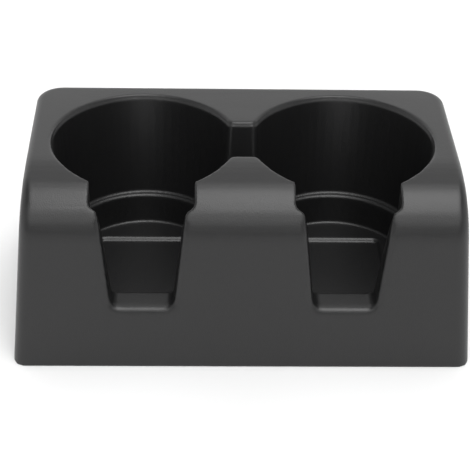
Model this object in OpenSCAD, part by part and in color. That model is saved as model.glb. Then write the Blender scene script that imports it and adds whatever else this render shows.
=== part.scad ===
// Double car cup holder, one open-bottomed injection-moulded shell.
// Frame: X runs across both wells, the notched front faces -Y, Z is up.
// The origin is the middle of the rectangle that the bottom rim stands in.

/* [Body] */
// Width across the bottom rim
body_w = 218; // [214:1:230]
// Depth across the bottom rim
body_d = 121; // [119:1:128]
// Height of the flat deck above the bottom rim
body_h = 90; // [86:1:96]
// Wall thickness of the moulding
wall = 2.5; // [2:0.1:3]
// Inward lean of the two end walls
side_draft = 4.45; // [2:0.05:5]
// Inward lean of the back wall
back_draft = 3.2; // [1:0.1:4]
// Backward lean of the front face
front_lean = 6; // [4:0.5:8]
// Radius of the rounding from the front face up to the deck
brow_r = 26.5; // [22:0.5:30]
// Radius of the gentle run from that rounding into the flat deck
brow_blend_r = 80; // [60:5:100]
// Angle that the gentle run turns through
brow_blend_a = 12; // [8:1:14]
// Edge rounding along the deck's ends and back
edge_r = 3.5; // [3.2:0.1:5]
// Plan radius of the two front corners
front_corner_r = 6.5; // [5:0.5:8]
// Plan radius of the two back corners
back_corner_r = 13; // [10:0.5:15]

/* [Wells] */
// Distance between the two well axes
well_pitch = 94.9; // [94:0.1:97]
// Distance of the well axes behind the middle of the base
well_y = 1.2; // [0:0.1:1.5]
// Radius of a well's mouth at the deck
rim_r = 44.3; // [43.5:0.1:44.5]
// Height of the shallow lip around the mouths and the gap
lip_h = 1.8; // [1:0.1:2.5]
// Width of the step at the foot of that lip
lip_w = 0.8; // [0.6:0.1:1]
// Radius at the foot of the upper wall
upper_foot_r = 41.7; // [41.4:0.1:42]
// Radius at the top of the lower wall
lower_r = 38.5; // [37.5:0.1:38.7]
// Radius at the foot of the lower wall
lower_foot_r = 38; // [37:0.1:38]
// Depth of the ring-shaped ledge below the deck
ledge_depth = 55.2; // [53:0.1:57]
// Depth of the round floor below the deck
floor_depth = 71.3; // [70:0.1:71.5]
// Rounding of the rim's edge and of the step under it
rim_edge_r = 0.5; // [0.3:0.1:0.6]
// Rounding of the ledge's upper edge and of the recess bed's
ledge_edge_r = 1.5; // [0.5:0.1:1.6]
// Rounding at the foot of the upper and of the lower wall
foot_edge_r = 1; // [0.5:0.1:1.1]

/* [Carton recess] */
// Half width of the straight-sided recess that crosses each well
recess_half_w = 24.2; // [23:0.1:25]
// Distance of the recess's back edge behind the well axis
recess_back = 22; // [20:0.5:24]
// Distance of its front wall ahead of the well axis, at the deck
recess_front = 48.5; // [48:0.5:50]
// Lean of that front wall
recess_lean = 4; // [3:0.5:5]
// Corner radius of the recess
recess_corner_r = 3; // [2.5:0.5:4]
// Depth of the recess floor below the deck
recess_depth = 73; // [72.9:0.1:75]

/* [Handle slots] */
// Half width of a slot where its walls would meet the deck
slot_half_w = 20.7; // [19.5:0.1:21]
// Inward draft of the slot walls
slot_draft = 6.2; // [5:0.1:7]
// Depth of the slot's sill below the deck
sill_depth = 58.4; // [57:0.1:60]
// Radius in the two lower corners of a slot
slot_corner_r = 4; // [3:0.5:5]
// Rounding of the slot's edge on the front face
mouth_edge_r = 2.5; // [1.5:0.1:2.8]

/* [Link gap] */
// Width of the gap that joins the two wells, along Y, at the deck
gap_w = 32.4; // [28:0.1:34]
// Depth of the gap below the deck
gap_depth = 40; // [25:1:50]

/* [Upright edges] */
// Rounding between a well and the side wall of its recess
recess_nose_r = 2; // [1:0.5:3]
// Rounding between the recess's front wall and the slot
slot_nose_r = 2.5; // [1.5:0.5:3]
// Rounding between a well and the gap
gap_nose_r = 3.5; // [2:0.5:4]

/* [Hidden] */
$fn = 96;
hull_fn = 32; // sides of the round pieces that the skin is stretched over
outer_brow_steps = 28;
inner_brow_steps = 12;
mouth_steps = 4; // steps of a slot's mouth along each wall and in each corner
mouth_edge_steps = 3; // steps round the mouth's edge
reach = 20; // how far a cutter runs past the face that it cuts
overlap = 1; // how far two joined cutters run into each other
bite = 0.05; // how far a rounding cuts across the two faces that it joins

plastic = [0.13, 0.13, 0.135];

front_y = -body_d / 2;
back_y = body_d / 2;
brow_end_a = 90 - front_lean;
well_x = well_pitch / 2;
upper_r = rim_r - lip_w;
lip_z = body_h - lip_h;
ledge_z = body_h - ledge_depth;
floor_z = body_h - floor_depth;
recess_z = body_h - recess_depth;
sill_z = body_h - sill_depth;
gap_z = body_h - gap_depth;

// Centres of the two arcs of the brow, which run tangent from the deck to the front face
brow_z = body_h - brow_blend_r + (brow_blend_r - brow_r) * cos(brow_blend_a);
brow_y = front_y + tan(front_lean) * (brow_z + brow_r * sin(front_lean))
    + brow_r * cos(front_lean);
blend_z = body_h - brow_blend_r;
blend_y = brow_y + (brow_blend_r - brow_r) * sin(brow_blend_a);

// Half of the slot's flat sill, between its two corner arcs
sill_half_w = slot_half_w - sill_depth * tan(slot_draft)
    - slot_corner_r * tan((90 - slot_draft) / 2);

// The slot's rounded mouth starts here, up on the brow, and reaches its full size over a height
mouth_top_z = body_h - 7;
mouth_fade_h = 12;
mouth_least = 0.2; // share of its full size that it starts with

// Half width of the body at height z
function half_w(z) = body_w / 2 - z * tan(side_draft);

// Y of the front face and the brow above it at height z
function face_y(z) = z < brow_z + brow_r * sin(front_lean)
    ? front_y + z * tan(front_lean)
    : brow_y - sqrt(pow(brow_r, 2) - pow(z - brow_z, 2));

// Centre, in Y and Z, of a ball of radius b that touches the brow at angle a
function brow_point(a, b) = a < brow_blend_a
    ? [blend_y - (brow_blend_r - b) * sin(a), blend_z + (brow_blend_r - b) * cos(a)]
    : [brow_y - (brow_r - b) * sin(a), brow_z + (brow_r - b) * cos(a)];

// Edge radius along the body's ends, from the deck's edge to the front corner
function end_edge_r(a) = edge_r + (front_corner_r - edge_r) * a / brow_end_a;

// Ball that rounds the end of the brow at angle a
module brow_ball(a, inset) {
    b = end_edge_r(a);
    p = brow_point(a, b);
    translate([half_w(p.y) - b / cos(side_draft), p.x, p.y]) sphere(b - inset, $fn = hull_fn);
}

// One foot corner of plan radius r, as a thin disc whose middle is at y
module foot_corner(y, r, inset, foot_z) {
    translate([half_w(foot_z) - r, y, foot_z]) cylinder(r = r - inset, h = 0.01, $fn = hull_fn);
}

// Half of the pieces that the body's skin is stretched over, on the +X side
module body_end(inset, foot_z, steps) {
    for (i = [0 : steps]) brow_ball(brow_end_a * i / steps, inset);
    top_z = body_h - edge_r;
    back_top_y = back_y - body_h * tan(back_draft);
    translate([half_w(top_z) - back_corner_r, back_top_y - back_corner_r, top_z])
        rotate_extrude($fn = hull_fn)
            translate([back_corner_r - edge_r, 0]) circle(edge_r - inset, $fn = hull_fn);
    foot_corner(front_y + foot_z * tan(front_lean) + front_corner_r, front_corner_r, inset, foot_z);
    foot_corner(back_y - foot_z * tan(back_draft) - back_corner_r, back_corner_r, inset, foot_z);
}

// The body's outer form, drawn in by inset on every side
module body_form(inset, foot_z, steps) {
    hull() {
        body_end(inset, foot_z, steps);
        mirror([1, 0, 0]) body_end(inset, foot_z, steps);
    }
}

// Square corner at the origin with a quarter circle of radius r taken off
module corner_sliver(r) {
    difference() {
        translate([-overlap, -overlap]) square(r + overlap);
        translate([r, r]) circle(r);
    }
}

// Half section of a well, radius along X and height along Y
module well_section(grow) {
    difference() {
        union() {
            polygon([
                [0, floor_z - grow], [lower_foot_r + grow, floor_z - grow],
                [lower_r + grow, ledge_z - grow], [upper_foot_r + grow, ledge_z - grow],
                [upper_r + grow, lip_z], [upper_r + grow, body_h + reach], [0, body_h + reach]
            ]);
            if (grow == 0) {
                translate([0, lip_z]) square([rim_r, lip_h + reach]);
                translate([rim_r, body_h]) mirror([0, 1]) corner_sliver(rim_edge_r);
                translate([upper_r, lip_z]) mirror([0, 1]) corner_sliver(rim_edge_r);
                translate([lower_r, ledge_z]) mirror([0, 1]) corner_sliver(ledge_edge_r);
            }
        }
        if (grow == 0) {
            translate([upper_foot_r, ledge_z]) mirror([1, 0]) corner_sliver(foot_edge_r);
            translate([lower_foot_r, floor_z]) mirror([1, 0]) corner_sliver(foot_edge_r);
        }
    }
}

// Rounded rectangle that spans y0 to y1 and is centred on X
module rounded_plate(half, y0, y1, r) {
    translate([-half, y0 + r]) square([2 * half, y1 - y0 - 2 * r]);
    translate([-half + r, y0]) square([2 * (half - r), y1 - y0]);
    for (sx = [-1, 1], y = [y0 + r, y1 - r]) translate([sx * (half - r), y]) circle(r);
}

// Straight-sided recess: a shallow bed in the floor and a leaning front bay. The bed's cutter runs up
// inside the well and the bay, so its top edge marks neither of them.
module carton_recess(grow) {
    half = recess_half_w + grow;
    r = recess_corner_r + grow;
    bed_front = recess_front - recess_depth * tan(recess_lean) - overlap;
    bay_l = recess_front - sqrt(pow(lower_foot_r, 2) - pow(recess_half_w, 2)) + 2 * overlap;
    translate([0, 0, recess_z - grow])
        linear_extrude(body_h)
            rounded_plate(half, -bed_front, recess_back + grow, r);
    intersection() {
        translate([0, -recess_front - grow, body_h]) rotate([recess_lean, 0, 0])
            translate([0, 0, -body_h]) linear_extrude(body_h + reach)
                rounded_plate(half, 0, bay_l + r + grow, r);
        translate([-body_w / 2, -body_d, recess_z - grow]) cube([body_w, 2 * body_d, body_h]);
    }
}

// Rounding of the bed's upper edge, along its back, round its corners and down its sides
module bed_edge() {
    corner_x = recess_half_w - recess_corner_r;
    corner_y = recess_back - recess_corner_r;
    intersection() {
        union() {
            translate([-corner_x, recess_back, floor_z]) rotate([90, 0, 90])
                linear_extrude(2 * corner_x) mirror([0, 1]) corner_sliver(ledge_edge_r);
            for (mx = [0, 1]) mirror([mx, 0, 0]) {
                translate([corner_x, corner_y, floor_z]) rotate_extrude(angle = 90)
                    translate([recess_corner_r, 0]) mirror([0, 1]) corner_sliver(ledge_edge_r);
                translate([recess_half_w, corner_y, floor_z]) rotate([90, 0, 0])
                    linear_extrude(2 * lower_foot_r) mirror([0, 1]) corner_sliver(ledge_edge_r);
            }
        }
        translate([0, 0, recess_z]) cylinder(r = lower_foot_r - foot_edge_r, h = floor_depth);
    }
}

// Front view of a handle slot, width along X and height along Y
module slot_section(grow) {
    r = slot_corner_r + grow;
    touch = [sill_half_w + r * cos(slot_draft), sill_z + slot_corner_r - r * sin(slot_draft)];
    top_h = body_h + reach;
    top = [touch.x + (top_h - touch.y) * tan(slot_draft), top_h];
    polygon([
        [-sill_half_w, sill_z - grow], [sill_half_w, sill_z - grow], touch, top,
        [-top.x, top.y], [-touch.x, touch.y]
    ]);
    for (sx = [-1, 1]) translate([sx * sill_half_w, sill_z + slot_corner_r]) circle(r);
}

// Handle slot, open to the front
module handle_slot(grow) {
    slot_in = recess_front - recess_corner_r - 2 * overlap;
    translate([0, -slot_in, 0]) rotate([90, 0, 0]) linear_extrude(body_d / 2) slot_section(grow);
}

// Right half of the slot's outline, from the brow to the sill: X, Z and the way it faces
function mouth_half() = concat(
    [for (i = [0 : mouth_steps - 1])
        let (z = mouth_top_z + (sill_z + slot_corner_r - mouth_top_z) * i / mouth_steps)
            [slot_half_w - (body_h - z) * tan(slot_draft), z, -slot_draft]],
    [for (i = [0 : mouth_steps])
        let (a = -slot_draft - (90 - slot_draft) * i / mouth_steps)
            [sill_half_w + slot_corner_r * cos(a), sill_z + slot_corner_r * (1 + sin(a)), a]]
);

// The whole outline, down the right side and up the left
function mouth_outline() = let (right = mouth_half(), n = len(right)) concat(
    right,
    [for (i = [n - 1 : -1 : 0]) [-right[i].x, right[i].y, 180 - right[i].z]]
);

// Section of the ring that rounds the mouth: how far out from the slot's wall, how far into the face
function mouth_ring(r) = concat(
    [for (i = [0 : mouth_edge_steps])
        let (a = 90 * i / mouth_edge_steps) [r - bite - r * cos(a), r - bite - r * sin(a)]],
    [[r - bite, -overlap], [-overlap, -overlap], [-overlap, r - bite]]
);

// Rounding of the slot's edge on the front face, which fades out up on the brow
module slot_mouth() {
    outline = mouth_outline();
    n = len(mouth_ring(mouth_edge_r));
    points = [for (p = outline)
        let (fade = min(1, mouth_least + (mouth_top_z - p.y) / mouth_fade_h))
            for (s = mouth_ring(mouth_edge_r * fade))
                let (z = p.y + s.x * sin(p.z))
                    [p.x + s.x * cos(p.z), face_y(z) + s.y, z]];
    last = (len(outline) - 1) * n;
    polyhedron(points, [
        for (k = [1 : n - 2]) let (a = (n - 2 + k) % n, b = (n - 1 + k) % n)
            each [[n - 2, a, b], [last + n - 2, last + b, last + a]],
        for (i = [0 : len(outline) - 2], k = [0 : n - 1]) let (a = i * n + k, b = i * n + (k + 1) % n)
            each [[a, a + n, b], [b, a + n, b + n]]
    ]);
}

// Rounding of the upright edge between the recess's front wall and the slot, on the +X side
module slot_nose() {
    intersection() {
        translate([slot_half_w, -recess_front, body_h]) rotate([recess_lean, slot_draft, 0])
            translate([0, 0, -body_h]) linear_extrude(body_h + overlap)
                mirror([0, 1]) corner_sliver(slot_nose_r);
        translate([0, -body_d, sill_z]) cube([body_w, 2 * body_d, body_h]);
    }
}

// Rounding of the upright nose between a round wall, whose radius is top_r at the top and foot_r
// at the foot, and the recess's side wall, on the +X side. It leans with the round wall.
module recess_nose(top_r, foot_r, foot_z, h) {
    centre_x = recess_half_w + recess_nose_r;
    centre_y = -sqrt(pow(top_r + recess_nose_r, 2) - pow(centre_x, 2));
    edge_y = -sqrt(pow(top_r, 2) - pow(recess_half_w, 2));
    foot_y = -sqrt(pow(foot_r, 2) - pow(recess_half_w, 2));
    touch = [centre_x, centre_y] * top_r / (top_r + recess_nose_r);
    translate([0, 0, foot_z + h]) rotate([atan((foot_y - edge_y) / h), 0, 0])
        translate([0, 0, -h]) linear_extrude(h) difference() {
            polygon([
                [recess_half_w - overlap, centre_y], [centre_x, centre_y], touch,
                [touch.x, edge_y + overlap], [recess_half_w - overlap, edge_y + overlap]
            ]);
            translate([centre_x, centre_y]) circle(recess_nose_r);
        }
}

// Well with everything that opens into it
module well(grow) {
    rotate_extrude() well_section(grow);
    carton_recess(grow);
    handle_slot(grow);
    if (grow == 0) {
        bed_edge();
        translate([0, -well_y, 0]) slot_mouth();
        for (mx = [0, 1]) mirror([mx, 0, 0]) {
            slot_nose();
            recess_nose(upper_r, upper_foot_r, ledge_z, lip_z - ledge_z + overlap / 2);
            recess_nose(rim_r, rim_r, lip_z, lip_h + overlap);
        }
    }
}

// Gap through the web between the wells, with the lip running along both of its walls
module link_gap(grow) {
    half = gap_w / 2 - lip_w + grow;
    translate([-well_x / 2, -half, gap_z - grow]) cube([well_x, 2 * half, body_h]);
    if (grow == 0) translate([-well_x / 2, -gap_w / 2, lip_z]) cube([well_x, gap_w, reach]);
}

// Rounding of one upright nose where a gap wall at half meets the round wall, in the +X +Y quarter
module gap_nose(half, top_r, foot_r, foot_z, h) {
    centre_y = half + gap_nose_r;
    centre_x = well_x - sqrt(pow(top_r + gap_nose_r, 2) - pow(centre_y, 2));
    edge_x = well_x - sqrt(pow(top_r, 2) - pow(half, 2));
    foot_x = well_x - sqrt(pow(foot_r, 2) - pow(half, 2));
    touch = [well_x, 0] + ([centre_x, centre_y] - [well_x, 0]) * top_r / (top_r + gap_nose_r);
    translate([0, 0, foot_z + h]) rotate([0, -atan((foot_x - edge_x) / h), 0])
        translate([0, 0, -h]) linear_extrude(h) difference() {
            polygon([
                [centre_x, half - overlap], [centre_x, centre_y], touch,
                [edge_x + overlap, touch.y], [edge_x + overlap, half - overlap]
            ]);
            translate([centre_x, centre_y]) circle(gap_nose_r);
        }
}

// Everything that is hollowed out from above, grown outward by the wall for its outer skin
module hollows(grow) {
    gap_foot_r = upper_r - (upper_r - upper_foot_r) * (lip_z - gap_z) / (lip_z - ledge_z);
    translate([0, well_y, 0]) {
        for (sx = [-1, 1]) translate([sx * well_x, 0, 0]) well(grow);
        link_gap(grow);
        if (grow == 0) for (mx = [0, 1], my = [0, 1]) mirror([mx, 0, 0]) mirror([0, my, 0]) {
            gap_nose(gap_w / 2 - lip_w, upper_r, gap_foot_r, gap_z, lip_z - gap_z + overlap / 2);
            gap_nose(gap_w / 2, rim_r, rim_r, lip_z, lip_h + overlap);
        }
    }
}

module cup_holder_body() {
    color(plastic) difference() {
        body_form(0, 0, outer_brow_steps);
        hollows(0);
        difference() {
            body_form(wall, -overlap, inner_brow_steps);
            hollows(wall);
        }
    }
}

cup_holder_body();
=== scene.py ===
from math import radians, sin, tan

import bpy
import numpy as np
from mathutils import Matrix


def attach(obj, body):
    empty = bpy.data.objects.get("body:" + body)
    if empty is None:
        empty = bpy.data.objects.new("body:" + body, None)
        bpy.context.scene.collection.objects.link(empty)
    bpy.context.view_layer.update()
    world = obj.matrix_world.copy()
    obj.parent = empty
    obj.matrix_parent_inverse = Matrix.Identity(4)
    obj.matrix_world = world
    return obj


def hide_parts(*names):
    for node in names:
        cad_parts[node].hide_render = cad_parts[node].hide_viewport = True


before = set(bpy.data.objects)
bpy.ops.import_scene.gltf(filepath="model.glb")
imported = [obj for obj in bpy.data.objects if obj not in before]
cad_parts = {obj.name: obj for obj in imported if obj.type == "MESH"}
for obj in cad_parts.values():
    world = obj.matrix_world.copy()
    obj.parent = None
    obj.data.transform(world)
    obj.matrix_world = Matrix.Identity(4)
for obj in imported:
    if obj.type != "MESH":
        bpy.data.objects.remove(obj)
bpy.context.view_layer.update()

MM = 0.001
WHITE = (1, 1, 1, 1)

# Camera, solved from the photo: place in metres, angles in degrees
CAMERA_PLACE = (-0.02483, -0.63558, 0.44883)
CAMERA_YAW = 1.979
CAMERA_PITCH = 33.0
CAMERA_ROLL = 1.40
CAMERA_FOCAL_PX = 1524.1
FRAME_PX = 470
SENSOR_MM = 36.0
CAMERA_NEAR = 0.01

# Moulded shell
MERGE_GAP = 0.002 * MM
SKIN_VOXEL = 0.6 * MM
SKIN_SMOOTHING = 0.5
SKIN_SMOOTHING_STEPS = 5
SKIN_TRIANGLES = 190000

# The front face, the brow's arc and the handle slots, as the solid has them
FRONT_Y = -60.5 * MM
FRONT_LEAN = radians(6)
BROW_R = 26.5 * MM
BROW_Y = -27.3 * MM
BROW_Z = 62.33 * MM
BROW_FOOT = 65.1 * MM
DECK_Z = 90 * MM
WELL_X = 47.45 * MM
SLOT_HALF_W = 20.7 * MM
SLOT_DRAFT = radians(6.2)
SILL_Z = 31.6 * MM

# Where the slots' edges are softened further. Each pair is where that starts to fade and where it
# ends: away from the edge, behind the front face, and in height
SLOT_EDGE_REACH = (2.5 * MM, 5.5 * MM)
SLOT_EDGE_DEPTH = (3.5 * MM, 6.5 * MM)
SLOT_EDGE_TOP = (80 * MM, 85 * MM)
SLOT_EDGE_STEPS = 40
WEIGHT_STEPS = 10

# Black plastic
PLASTIC_DARK = (0.0065, 0.0065, 0.0067, 1)
PLASTIC_LIGHT = (0.0105, 0.0105, 0.0108, 1)
PLASTIC_IOR = 1.51
PLASTIC_ROUGHNESS = (0.32, 0.40)
GRAIN_SIZE = 0.5 * MM
GRAIN_DEPTH = 0.045 * MM
GRAIN_STRENGTH = 1.0
GRAIN_ROUNDING = 0.6
HAZE_SCALE = 600.0
HAZE_DETAIL = 3.0
HAZE_SHARE = 0.6

# White floor
FLOOR_SIZE = 12.0
FLOOR_COLOUR = (0.85, 0.85, 0.85, 1)
FLOOR_ROUGHNESS = 0.9
FLOOR_SHEEN = 0.0

# Studio: the strength low down and overhead, and the elevations between which it falls, in degrees
HORIZON_LIGHT = 0.95
CEILING_LIGHT = 0.1
HORIZON_TOP = 28
CEILING_FOOT = 48
# The light's share in front of and behind the object, and where it changes along the direction's Y
FRONT_SHARE = 0.3
FRONT_DIM = (-0.85, -0.25)
BACK_SHARE = 1.3
BACK_RISE = (0.4, 0.75)
# Soft boxes in the ceiling. Each has its middle and half width along X and Y, per unit of height,
# the width of its soft edge, and its strength. They end at the least height.
OVERHEAD_BOX = {"x": 0.14, "y": -0.34, "half_x": 0.32, "half_y": 0.5, "edge": 0.16, "light": 4.8}
FRONT_BOX = {"x": 0.0, "y": -1.9, "half_x": 1.1, "half_y": 1.2, "edge": 0.3, "light": 1.5}
BACK_BOX = {"x": 0.0, "y": 0.6, "half_x": 0.7, "half_y": 0.45, "edge": 0.2, "light": 0.9}
LEAST_HEIGHT = 0.05


def deselect_all():
    bpy.ops.object.select_all(action="DESELECT")


def make_active(piece):
    deselect_all()
    piece.select_set(True)
    bpy.context.view_layer.objects.active = piece


def apply_modifier(piece, kind, **settings):
    modifier = piece.modifiers.new(kind.lower(), kind)
    for name, value in settings.items():
        setattr(modifier, name, value)
    bpy.ops.object.modifier_apply(modifier=modifier.name)


def grain_group():
    """Fine moulded grain: a height for bump, and a mask for tone and sheen."""
    group = bpy.data.node_groups.new("moulded_grain", "ShaderNodeTree")
    sockets = group.interface
    sockets.new_socket("Size", in_out="INPUT", socket_type="NodeSocketFloat")
    sockets.new_socket("Height", in_out="OUTPUT", socket_type="NodeSocketFloat")
    sockets.new_socket("Mask", in_out="OUTPUT", socket_type="NodeSocketFloat")
    nodes, links = group.nodes, group.links
    inputs = nodes.new("NodeGroupInput")
    outputs = nodes.new("NodeGroupOutput")
    place = nodes.new("ShaderNodeTexCoord")
    scale = nodes.new("ShaderNodeMath")
    scale.operation = "DIVIDE"
    scale.inputs[0].default_value = 1.0
    links.new(inputs.outputs["Size"], scale.inputs[1])
    pips = nodes.new("ShaderNodeTexVoronoi")
    pips.feature = "SMOOTH_F1"
    pips.inputs["Smoothness"].default_value = GRAIN_ROUNDING
    haze = nodes.new("ShaderNodeTexNoise")
    haze.inputs["Detail"].default_value = HAZE_DETAIL
    haze.inputs["Scale"].default_value = HAZE_SCALE
    for texture in (pips, haze):
        links.new(place.outputs["Object"], texture.inputs["Vector"])
    links.new(scale.outputs[0], pips.inputs["Scale"])
    blend = nodes.new("ShaderNodeMath")
    blend.operation = "MULTIPLY_ADD"
    blend.inputs[1].default_value = HAZE_SHARE
    links.new(haze.outputs["Fac"], blend.inputs[0])
    links.new(pips.outputs["Distance"], blend.inputs[2])
    links.new(blend.outputs[0], outputs.inputs["Height"])
    links.new(haze.outputs["Fac"], outputs.inputs["Mask"])
    return group


def body_plastic():
    material = bpy.data.materials.new("body_plastic_finish")
    material.use_nodes = True
    nodes, links = material.node_tree.nodes, material.node_tree.links
    shader = nodes["Principled BSDF"]
    shader.inputs["IOR"].default_value = PLASTIC_IOR
    grain = nodes.new("ShaderNodeGroup")
    grain.node_tree = grain_group()
    grain.inputs["Size"].default_value = GRAIN_SIZE
    bump = nodes.new("ShaderNodeBump")
    bump.inputs["Distance"].default_value = GRAIN_DEPTH
    bump.inputs["Strength"].default_value = GRAIN_STRENGTH
    links.new(grain.outputs["Height"], bump.inputs["Height"])
    links.new(bump.outputs["Normal"], shader.inputs["Normal"])
    tone = nodes.new("ShaderNodeMix")
    tone.data_type = "RGBA"
    tone.inputs["A"].default_value = PLASTIC_DARK
    tone.inputs["B"].default_value = PLASTIC_LIGHT
    links.new(grain.outputs["Mask"], tone.inputs["Factor"])
    links.new(tone.outputs["Result"], shader.inputs["Base Color"])
    sheen = nodes.new("ShaderNodeMapRange")
    sheen.inputs["To Min"].default_value = PLASTIC_ROUGHNESS[0]
    sheen.inputs["To Max"].default_value = PLASTIC_ROUGHNESS[1]
    links.new(grain.outputs["Mask"], sheen.inputs["Value"])
    links.new(sheen.outputs["Result"], shader.inputs["Roughness"])
    return material


def smoothstep(value, start, end):
    share = np.clip((value - start) / (end - start), 0, 1)
    return share * share * (3 - 2 * share)


def front_face_y(z):
    """Y of the leaning front face at each height, and of the brow's arc above it."""
    arc = np.sqrt(np.maximum(BROW_R ** 2 - np.maximum(z - BROW_Z, 0) ** 2, 0))
    return np.where(z < BROW_FOOT, FRONT_Y + z * tan(FRONT_LEAN), BROW_Y - arc)


def slot_edge_distance(x, z):
    """Distance from each point to the outline of the nearer slot, seen from the front."""
    aside = np.abs(np.abs(x) - WELL_X) - (SLOT_HALF_W - (DECK_Z - z) * tan(SLOT_DRAFT))
    below = SILL_Z - z
    outside = np.hypot(np.maximum(aside, 0), np.maximum(below, 0))
    inside = np.minimum(np.maximum(aside, below), 0)
    return np.abs(outside + inside)


def soften_slot_edges(shell):
    """Round the handle slots' edges on the front face further than their solid does."""
    places = np.empty(len(shell.data.vertices) * 3)
    shell.data.vertices.foreach_get("co", places)
    x, y, z = places.reshape(-1, 3).T
    weight = (
        (1 - smoothstep(slot_edge_distance(x, z), *SLOT_EDGE_REACH))
        * (1 - smoothstep(y - front_face_y(z), *SLOT_EDGE_DEPTH))
        * (1 - smoothstep(z, *SLOT_EDGE_TOP))
    )
    edges = shell.vertex_groups.new(name="slot_edges")
    for step in range(1, WEIGHT_STEPS + 1):
        near = np.flatnonzero(np.round(weight * WEIGHT_STEPS) == step)
        edges.add(near.tolist(), step / WEIGHT_STEPS, "REPLACE")
    apply_modifier(
        shell, "SMOOTH", factor=SKIN_SMOOTHING, iterations=SLOT_EDGE_STEPS, vertex_group=edges.name
    )
    shell.vertex_groups.clear()


def moulded_shell(finish):
    """The body as moulded: one even skin over its solid, with every edge a little softened."""
    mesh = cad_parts["cup_holder_body"].data.copy()
    mesh.name = "moulded_shell"
    shell = bpy.data.objects.new("moulded_shell", mesh)
    bpy.context.scene.collection.objects.link(shell)
    make_active(shell)
    bpy.ops.object.mode_set(mode="EDIT")
    bpy.ops.mesh.select_all(action="SELECT")
    bpy.ops.mesh.remove_doubles(threshold=MERGE_GAP)
    bpy.ops.mesh.customdata_custom_splitnormals_clear()
    bpy.ops.object.mode_set(mode="OBJECT")
    apply_modifier(shell, "REMESH", mode="VOXEL", voxel_size=SKIN_VOXEL)
    apply_modifier(shell, "SMOOTH", factor=SKIN_SMOOTHING, iterations=SKIN_SMOOTHING_STEPS)
    soften_slot_edges(shell)
    shell.data.calc_loop_triangles()
    share = SKIN_TRIANGLES / len(shell.data.loop_triangles)
    apply_modifier(shell, "DECIMATE", ratio=min(1, share))
    bpy.ops.object.shade_smooth()
    shell.data.materials.clear()
    shell.data.materials.append(finish)
    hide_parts("cup_holder_body")
    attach(shell, "root")


def photo_camera():
    camera = bpy.data.objects.new("photo_camera", bpy.data.cameras.new("photo_camera"))
    bpy.context.scene.collection.objects.link(camera)
    camera.data.sensor_width = SENSOR_MM
    camera.data.lens = CAMERA_FOCAL_PX / FRAME_PX * SENSOR_MM
    camera.data.clip_start = CAMERA_NEAR
    camera.matrix_world = (
        Matrix.Translation(CAMERA_PLACE)
        @ Matrix.Rotation(radians(-CAMERA_YAW), 4, "Z")
        @ Matrix.Rotation(radians(90 - CAMERA_PITCH), 4, "X")
        @ Matrix.Rotation(radians(CAMERA_ROLL), 4, "Z")
    )
    bpy.context.scene.camera = camera


def white_floor():
    deselect_all()
    bpy.ops.mesh.primitive_plane_add(size=FLOOR_SIZE, location=(0, 0, 0))
    floor = bpy.context.object
    floor.name = "studio_floor"
    material = bpy.data.materials.new("studio_floor")
    material.use_nodes = True
    shader = material.node_tree.nodes["Principled BSDF"]
    shader.inputs["Base Color"].default_value = FLOOR_COLOUR
    shader.inputs["Roughness"].default_value = FLOOR_ROUGHNESS
    shader.inputs["Specular IOR Level"].default_value = FLOOR_SHEEN
    floor.data.materials.append(material)


def studio_world():
    """World light by direction: a ring low down, a dim ceiling and soft boxes in it."""
    world = bpy.data.worlds.new("studio")
    bpy.context.scene.world = world
    world.use_nodes = True
    nodes, links = world.node_tree.nodes, world.node_tree.links

    def math(operation, *values):
        node = nodes.new("ShaderNodeMath")
        node.operation = operation
        for socket, value in zip(node.inputs, values):
            if isinstance(value, bpy.types.NodeSocket):
                links.new(value, socket)
            else:
                socket.default_value = value
        return node.outputs[0]

    def ease(value, start, end, before, after):
        node = nodes.new("ShaderNodeMapRange")
        node.interpolation_type = "SMOOTHSTEP"
        links.new(value, node.inputs["Value"])
        node.inputs["From Min"].default_value = start
        node.inputs["From Max"].default_value = end
        node.inputs["To Min"].default_value = before
        node.inputs["To Max"].default_value = after
        return node.outputs["Result"]

    def soft_box(box):
        light = box["light"]
        sides = (
            (along_x, box["x"], box["half_x"]),
            (along_y, box["y"], box["half_y"]),
        )
        for value, middle, half in sides:
            off = math("ABSOLUTE", math("SUBTRACT", value, middle))
            edge = ease(off, half - box["edge"] / 2, half + box["edge"] / 2, 1, 0)
            light = math("MULTIPLY", edge, light)
        return math("MULTIPLY", light, above)

    direction = nodes.new("ShaderNodeTexCoord")
    parts = nodes.new("ShaderNodeSeparateXYZ")
    links.new(direction.outputs["Generated"], parts.inputs["Vector"])
    depth = parts.outputs["Y"]
    height = parts.outputs["Z"]
    above = math("GREATER_THAN", height, LEAST_HEIGHT)
    divisor = math("MAXIMUM", height, LEAST_HEIGHT)
    along_x = math("DIVIDE", parts.outputs["X"], divisor)
    along_y = math("DIVIDE", depth, divisor)
    horizon_top = sin(radians(HORIZON_TOP))
    ceiling_foot = sin(radians(CEILING_FOOT))
    light = ease(height, horizon_top, ceiling_foot, HORIZON_LIGHT, CEILING_LIGHT)
    light = math("MULTIPLY", light, ease(depth, *FRONT_DIM, FRONT_SHARE, 1))
    light = math("MULTIPLY", light, ease(depth, *BACK_RISE, 1, BACK_SHARE))
    for box in (OVERHEAD_BOX, FRONT_BOX, BACK_BOX):
        light = math("ADD", light, soft_box(box))
    links.new(light, nodes["Background"].inputs["Strength"])
    nodes["Background"].inputs["Color"].default_value = WHITE


moulded_shell(body_plastic())
photo_camera()
white_floor()
studio_world()
bpy.context.scene.view_settings.view_transform = "Standard"
